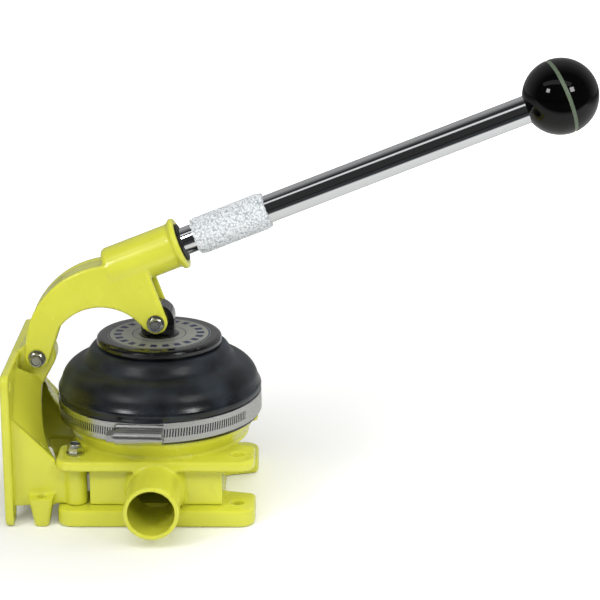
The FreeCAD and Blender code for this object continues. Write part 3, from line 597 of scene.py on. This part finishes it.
def hexagon_head(across, height, place, bore=0.0, collar=0.0, slot=0.0):
    """Chamfered hexagon standing on local Z = 0, with a bore and collar for a self-locking nut."""
    sides = 60
    flat = across / 2

    def reach(turn):
        return flat / math.cos((turn + math.pi / 6) % (math.pi / 3) - math.pi / 6)

    bm = bmesh.new()
    bmesh.ops.create_circle(bm, segments=sides, radius=1.0, cap_ends=False)
    ring = list(bm.edges)

    def raise_ring(edges, radius_at, z_at):
        made = bmesh.ops.extrude_edge_only(bm, edges=edges)["geom"]
        for vert in (g for g in made if isinstance(g, bmesh.types.BMVert)):
            turn = math.atan2(vert.co.y, vert.co.x)
            radius = radius_at(turn)
            vert.co = Vector((radius * math.cos(turn), radius * math.sin(turn), z_at(turn))) * MM
        return [g for g in made if isinstance(g, bmesh.types.BMEdge)]

    for vert in bm.verts:
        turn = math.atan2(vert.co.y, vert.co.x)
        vert.co = Vector((math.cos(turn), math.sin(turn), 0)) * (reach(turn) * 0.985) * MM
    body_top = height - collar
    base = list(ring)
    ring = raise_ring(ring, reach, lambda t: 0.25)
    ring = raise_ring(ring, reach, lambda t: body_top - 0.15 - (reach(t) - flat) * 0.6)
    ring = raise_ring(ring, lambda t: flat * 0.955, lambda t: body_top)
    if collar:
        for radius, up in COLLAR_PROFILE:
            ring = raise_ring(ring, lambda t, r=radius: flat * r, lambda t, u=up: body_top + collar * u)
    if bore:
        ring = raise_ring(ring, lambda t: bore + 0.35, lambda t: height)
        ring = raise_ring(ring, lambda t: bore, lambda t: height - 0.4)
        ring = raise_ring(ring, lambda t: bore, lambda t: 0.0)
        bmesh.ops.bridge_loops(bm, edges=ring + base)
    else:
        ring = raise_ring(ring, lambda t: flat * 0.4, lambda t: height)
        bmesh.ops.contextual_create(bm, geom=ring)
        bmesh.ops.contextual_create(bm, geom=base)
    if slot:
        slotted = [v for v in bm.verts if v.co.z > (height - 0.05) * MM and abs(v.co.x) < slot * MM]
        bmesh.ops.translate(bm, verts=slotted, vec=(0, 0, -1.6 * MM))
    bmesh.ops.transform(bm, matrix=place, verts=bm.verts)
    return bm


def end_places(name, count):
    """Seats of a group of fasteners: one across Y, or one at each end of the group's Y range."""
    low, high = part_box(name)
    if count == 1:
        return [(low + high) / 2]
    half = (high.x - low.x) / 2
    return [Vector(((low.x + high.x) / 2, y, (low.z + high.z) / 2)) for y in (low.y + half, high.y - half)]


NUTS = (("fulcrum_nut", "pump", 1), ("fork_nut", "lever", 1), ("bracket_nuts", "pump", 2))
NUT_ACROSS, NUT_COLLAR, NUT_BORE = 10.0, 2.0, 3.1   # M6 self-locking nut, mm
NUT_TURN, NUT_TURN_STEP = 19, 23                    # how the nuts happen to be turned, degrees
SCREWS = ("fulcrum_bolt", "fork_pin", "bracket_bolts", "plate_screws", "base_screws",
          "inlet_keeper_screws", "outlet_keeper_screws")
WASHERS = ("fulcrum_washers", "fork_washers", "bracket_washers", "knob_plug")


class PumpFasteners(bpy.types.Operator):
    """Model the self-locking nuts and finish the bolts and washers"""
    bl_idname = "pump.fasteners"
    bl_label = "Fasteners"

    def execute(self, context):
        steel, insert = finish("bright_steel"), finish("nylon_insert")
        inner, outer = NUT_BORE - 0.15, NUT_BORE + 0.9
        for name, body, count in NUTS:
            low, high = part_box(name)
            upright = count == 2
            height = (high.z - low.z if upright else high.y - low.y) / MM
            for index, centre in enumerate(end_places(name, count)):
                if upright:
                    place = frame_along(Vector((centre.x, centre.y, low.z)), Vector((0, 0, 1)))
                else:
                    place = frame_along(Vector((centre.x, high.y, centre.z)), Vector((0, -1, 0)))
                turned = place @ Matrix.Rotation(math.radians(NUT_TURN + NUT_TURN_STEP * index), 4, "Z")
                bm = hexagon_head(NUT_ACROSS, height, turned, bore=NUT_BORE, collar=NUT_COLLAR)
                to_object(bm, f"{name}_lock_{index}", steel, body, [name], smooth_angle=28)
                ring = [(inner, height - 1.3), (outer, height - 1.3), (outer, height - 0.5),
                        (inner, height - 0.5)]
                bm = spun(rounded(ring, 0.3), turned, steps=40)
                to_object(bm, f"{name}_insert_{index}", insert, body)
        for name in SCREWS:
            dress(name, steel)
        for name in WASHERS:
            dress(name, finish("rolled_washer"))
        return {"FINISHED"}


TUBE_OUT, TUBE_IN = 9.9, 8.3       # radii, mm
TUBE_FROM_KNOB = (-331.0, -16.0)   # tube ends along the handle, measured from the knob's centre, mm
TAPE_FROM_KNOB = (-271.4, -216.5)
TAPE_OUT = 13.3
TAPE_ROWS, TAPE_STEPS = 110, 200   # mesh rows along the tape and steps round it
TAPE_WEAVE, TAPE_CRUMPLE, TAPE_SINK = 0.28, 0.4, 0.3   # relief of weave and wrinkles, inward shift, mm
WEAVE_PITCH = 3.2                  # mm
GROOVE_HALF = 1.4                  # half the width of the ring let into the ball, mm
RING_LEAN = math.radians(9.0)      # the ball is screwed on with its ring a little askew
RING_LEAN_AXIS = HANDLE_AXIS.cross(Vector((0, 1, 0))).normalized()


class PumpHandle(bpy.types.Operator):
    """Turn the chromed tube, wrap the grip tape and turn the ball knob with its ring"""
    bl_idname = "pump.handle"
    bl_label = "Handle"

    def execute(self, context):
        place = frame_along(KNOB_CENTRE, HANDLE_AXIS)
        start, end = TUBE_FROM_KNOB
        outline = rounded([(TUBE_IN, start), (TUBE_OUT, start), (TUBE_OUT, end), (TUBE_IN, end)], 0.5)
        to_object(spun(outline, place, steps=160), "tube_chromed", finish("polished_chrome"), "handle",
                  ["handle_tube"])
        self.tape(place)
        self.ball(place)
        return {"FINISHED"}

    def tape(self, place):
        start, end = TAPE_FROM_KNOB
        span, foot = end - start, TUBE_OUT + 0.06

        def end_curve(edge, inward, shares):
            """Rounded end of the tape, from the tube's skin outwards."""
            return [(foot + (TAPE_OUT - TUBE_OUT - 0.9) * t,
                     edge + inward * 0.8 - inward * 0.8 * math.sin(math.pi * t / 2)) for t in shares]

        outline = [(foot, start + 0.8)] + end_curve(start, 1, (0.3, 0.6, 0.85))
        outline += [(TAPE_OUT - 0.9 * max(0.0, 1 - 12 * min(t, 1 - t)), start + span * t)
                    for t in [i / TAPE_ROWS for i in range(TAPE_ROWS + 1)]]
        outline += end_curve(end, -1, (0.85, 0.6, 0.3)) + [(foot, end - 0.8)]
        bm = spun(outline, Matrix.Identity(4), steps=TAPE_STEPS)
        wave = math.tau / WEAVE_PITCH
        for vert in bm.verts:
            radius = vert.co.xy.length / MM
            if radius < TUBE_OUT + 0.2:
                continue
            along = vert.co.z / MM
            turn = math.atan2(vert.co.y, vert.co.x)
            girth = turn * TAPE_OUT
            weave = math.sin((along + girth) * wave) * math.sin((along - girth) * wave)
            crumple = noise.noise(vert.co * 700)
            shift = TAPE_WEAVE * weave + TAPE_CRUMPLE * crumple - TAPE_SINK
            vert.co.xy *= (radius + shift) / radius
            ends = abs((along - start) / span - 0.5) * 2
            if ends > 0.9:
                row = 7.0 if along > start + 9 else 1.0
                ragged = noise.noise(Vector((math.cos(turn) * 4, math.sin(turn) * 4, row)))
                inward = -1 if along > (start + end) / 2 else 1
                vert.co.z += inward * (0.7 + 0.7 * ragged) * MM * (ends - 0.9) * 10
        bmesh.ops.transform(bm, matrix=place, verts=bm.verts)
        to_object(bm, "tape_wrap", finish("woven_grip_tape"), "handle", ["handle_sleeve"],
                  smooth_angle=60)

    def ball(self, place):
        radius = (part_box("knob")[1].z - KNOB_CENTRE.z) / MM
        place = place @ Matrix.Rotation(RING_LEAN, 4, place.to_3x3().inverted() @ RING_LEAN_AXIS)

        def arc(start, end, size, steps=40):
            return [(size * math.sin(a), -size * math.cos(a)) for a in
                    [start + (end - start) * i / steps for i in range(steps + 1)]]

        groove = math.acos(GROOVE_HALF / radius)
        inside = radius - 2.5
        lower = arc(0, groove, radius) + [(inside, -GROOVE_HALF), (0, -GROOVE_HALF)]
        upper = [(0, GROOVE_HALF), (inside, GROOVE_HALF)] + arc(math.pi - groove, math.pi, radius)
        for name, outline in (("knob_lower", lower), ("knob_upper", upper)):
            to_object(spun(outline, place, steps=160, closed=False), name, finish("polished_phenolic"),
                      "handle", ["knob"], smooth_angle=40)
        out = radius - 0.25
        turn = math.acos(GROOVE_HALF / out)
        ring = [(inside, -GROOVE_HALF)] + arc(turn, math.pi - turn, out, 8) + [(inside, GROOVE_HALF)]
        to_object(spun(ring, place, steps=160), "knob_band", finish("ring_plastic"), "handle",
                  ["knob_ring"])


class PumpPlunger(bpy.types.Operator):
    """Finish the plunger plates, the blank label and the bushes"""
    bl_idname = "pump.plunger"
    bl_label = "Plunger and bushes"

    def execute(self, context):
        for name in ("top_plate", "lower_plate"):
            dress(name, finish("gloss_black_enamel"))
        dress("label_disc", finish("label_foil"))
        dress("socket_bush", finish("moulded_nylon"))
        dress("fulcrum_bushes", finish("cast_brass"))
        return {"FINISHED"}


class PumpValves(bpy.types.Operator):
    """Finish the flap valves inside the chest"""
    bl_idname = "pump.valves"
    bl_label = "Valves"

    def execute(self, context):
        for name in ("inlet_flap", "outlet_flap"):
            dress(name, finish("flap_rubber"))
        for name in ("inlet_flap_weight", "outlet_flap_weight", "inlet_keeper", "outlet_keeper"):
            dress(name, finish("rolled_washer"))
        return {"FINISHED"}


class PumpStage(bpy.types.Operator):
    """Build the pale floor, soft lights and camera"""
    bl_idname = "pump.stage"
    bl_label = "Stage"

    def execute(self, context):
        add_floor()
        add_lights()
        add_camera()
        return {"FINISHED"}


# ---- stage ----------------------------------------------------------------------------------------
CAMERA_TARGET = Vector((0.1001, 0.0, 0.14492))
CAMERA_DISTANCE, CAMERA_LENS = 1.415, 120.0
CAMERA_AZIMUTH, CAMERA_ELEVATION = math.radians(0.2), math.radians(16.69)


def add_camera():
    back = Vector((math.sin(CAMERA_AZIMUTH) * math.cos(CAMERA_ELEVATION),
                   -math.cos(CAMERA_AZIMUTH) * math.cos(CAMERA_ELEVATION), math.sin(CAMERA_ELEVATION)))
    data = bpy.data.cameras.new("camera")
    data.sensor_width, data.lens = 36.0, CAMERA_LENS
    data.clip_start, data.clip_end = 0.05, 20.0
    camera = placed("camera", data)
    camera.location = CAMERA_TARGET + back * CAMERA_DISTANCE
    camera.rotation_euler = back.to_track_quat("Z", "Y").to_euler()
    bpy.context.scene.camera = camera


def add_floor():
    """Pale paper; mirrors see it darken towards the front, as a table's edge would."""
    bm = bmesh.new()
    bmesh.ops.create_grid(bm, x_segments=2, y_segments=2, size=6.0)
    mesh = bpy.data.meshes.new("floor")
    bm.to_mesh(mesh)
    bm.free()
    floor = placed("floor", mesh)
    floor.location.z = -0.2 * MM
    paper, tree, shader = new_material("floor_paper", Roughness=0.9)
    place = node(tree, "ShaderNodeTexCoord")
    parts = node(tree, "ShaderNodeSeparateXYZ", {"Vector": place.outputs["Object"]})
    front = mapped(tree, parts.outputs["Y"], 0.3, 1.0, -0.28, -0.42)
    ray = node(tree, "ShaderNodeLightPath")
    dark = calc(tree, "MULTIPLY", front, ray.outputs["Is Glossy Ray"])
    tone = node(tree, "ShaderNodeMix", {"Factor": dark}, data_type="RGBA")
    tone.inputs["A"].default_value = rgba(rgb("#F8F8F6"))
    tone.inputs["B"].default_value = rgba(rgb("#26282A"))
    reach = node(tree, "ShaderNodeVectorMath", {0: place.outputs["Object"]}, operation="LENGTH")
    fade = mapped(tree, reach.outputs["Value"], 0.1, 1.0, 0.15, 1.3)
    shader.inputs["Emission Color"].default_value = rgba((1, 1, 1))
    feed(tree, shader, Base_Color=tone.outputs["Result"],
         Emission_Strength=calc(tree, "MULTIPLY", fade, ray.outputs["Is Camera Ray"]))
    mesh.materials.append(paper)


def soft_light(name, place, target, width, height, watts, mirrored=True):
    data = bpy.data.lights.new(name, "AREA")
    data.shape, data.size, data.size_y, data.energy = "RECTANGLE", width, height, watts
    light = placed(name, data)
    light.location = place
    light.rotation_euler = (Vector(place) - Vector(target)).to_track_quat("Z", "Y").to_euler()
    light.visible_glossy = mirrored


def add_lights():
    """Two umbrellas in front, a strip box above, plain fill round them, and a pale room behind."""
    aim = (0.05, 0.0, 0.12)
    soft_light("umbrella_left", (-0.78, -0.96, 0.91), aim, 0.28, 0.28, 3.6)
    soft_light("umbrella_right", (0.85, -0.96, 0.91), aim, 0.28, 0.28, 3.6)
    soft_light("box_top", (-0.1, -0.62, 1.2), aim, 1.9, 0.28, 1.2)
    soft_light("key_front", (-0.25, -0.8, 1.15), aim, 1.4, 0.8, 9.6, mirrored=False)
    soft_light("fill_front", (0.0, -1.7, 0.6), aim, 1.6, 1.0, 3.8, mirrored=False)
    soft_light("key_right", (1.2, -0.2, 0.7), aim, 0.8, 0.8, 6.5, mirrored=False)
    soft_light("fill_back", (0.6, 1.3, 1.1), aim, 1.4, 1.4, 11, mirrored=False)
    world = bpy.data.worlds.new("room")
    bpy.context.scene.world = world
    world.use_nodes = True
    tree = world.node_tree
    place = node(tree, "ShaderNodeTexCoord")
    parts = node(tree, "ShaderNodeSeparateXYZ", {"Vector": place.outputs["Generated"]})
    side = mapped(tree, parts.outputs["Y"], 0.03, 0.34, -0.1, 0.5)
    ray = node(tree, "ShaderNodeLightPath")
    background = tree.nodes["Background"]
    tree.links.new(calc(tree, "MAXIMUM", side, ray.outputs["Is Camera Ray"]), background.inputs["Color"])
    background.inputs["Strength"].default_value = 1.0
    bpy.context.scene.view_settings.view_transform = "Standard"


# ---- add-on ---------------------------------------------------------------------------------------
OPERATORS = [PumpCastings, PumpDiaphragm, PumpBand, PumpFasteners, PumpHandle, PumpPlunger, PumpValves,
             PumpStage]
GROUPS = [PumpFinish, PumpSizes]


class PumpPanel(bpy.types.Panel):
    bl_idname = "VIEW3D_PT_bilge_pump"
    bl_label = "Bilge pump"
    bl_space_type = "VIEW_3D"
    bl_region_type = "UI"
    bl_category = "Bilge pump"

    def draw(self, context):
        for operator in OPERATORS:
            self.layout.operator(operator.bl_idname)


def register():
    for group in GROUPS + OPERATORS + [PumpPanel]:
        bpy.utils.register_class(group)
    bpy.types.Scene.pump_finish = bpy.props.PointerProperty(type=PumpFinish)
    bpy.types.Scene.pump_sizes = bpy.props.PointerProperty(type=PumpSizes)


def unregister():
    del bpy.types.Scene.pump_sizes, bpy.types.Scene.pump_finish
    for group in reversed(GROUPS + OPERATORS + [PumpPanel]):
        bpy.utils.unregister_class(group)


def main():
    register()
    for operator in OPERATORS:
        area, action = operator.bl_idname.split(".")
        getattr(getattr(bpy.ops, area), action)()


if __name__ == "__main__":
    main()
